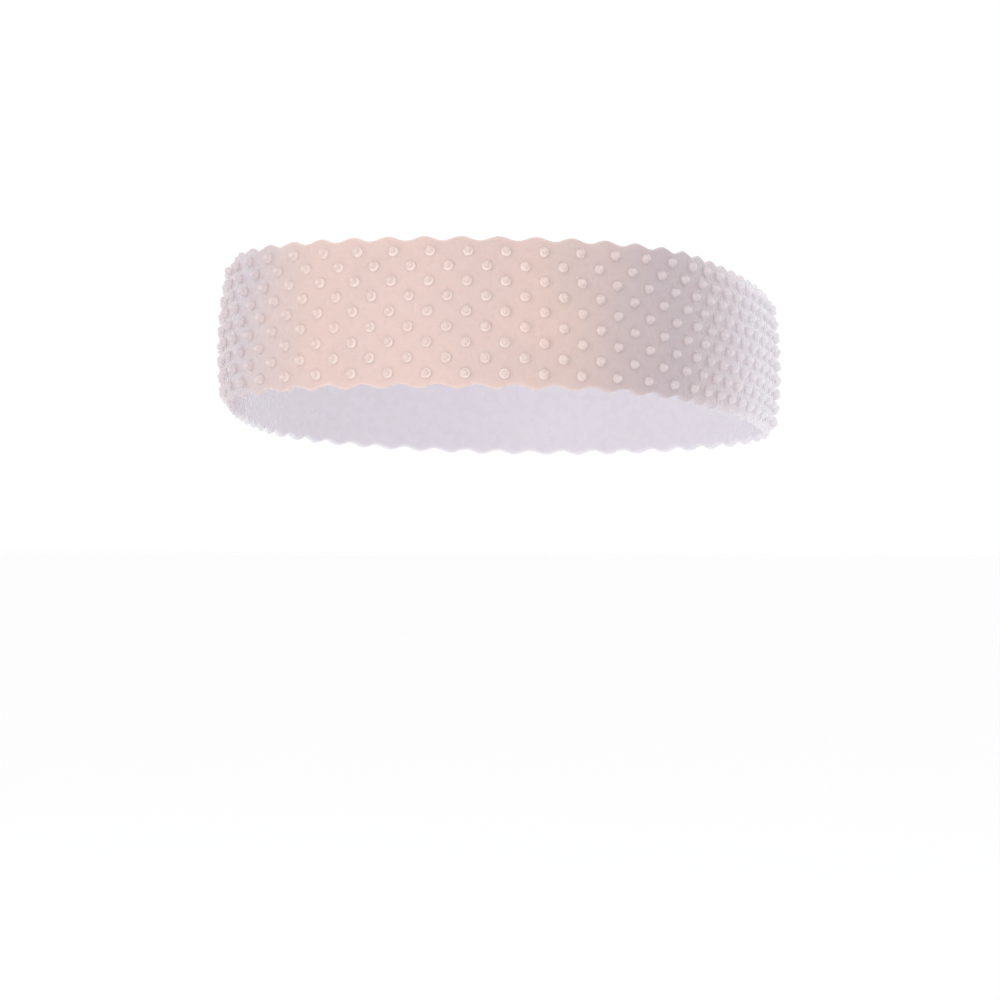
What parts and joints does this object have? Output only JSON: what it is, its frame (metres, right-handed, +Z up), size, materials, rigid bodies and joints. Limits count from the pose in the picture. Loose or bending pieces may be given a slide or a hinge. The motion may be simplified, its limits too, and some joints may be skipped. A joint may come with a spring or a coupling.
{
  "type": "wig grip band",
  "caption": "Seamless oval loop of thin moulded silicone with staggered rows of small raised nubs outside and gently waved edges, worn round the hairline to hold a wig in place.",
  "frame": {"origin": "middle of the loop at the height of the middle row of nubs, on the head's own axis", "axes": "+Z up, -Y towards the face, +X to the right as seen from in front; the loop is stored as worn, its front tilted up by 3.6 degrees about X"},
  "size_m": [0.1504, 0.2013, 0.0509],
  "materials": {
    "silicone": "satin, milky translucent silicone"
  },
  "bodies": {
    "root": {"silicone_band": "silicone"}
  },
  "joints": []
}
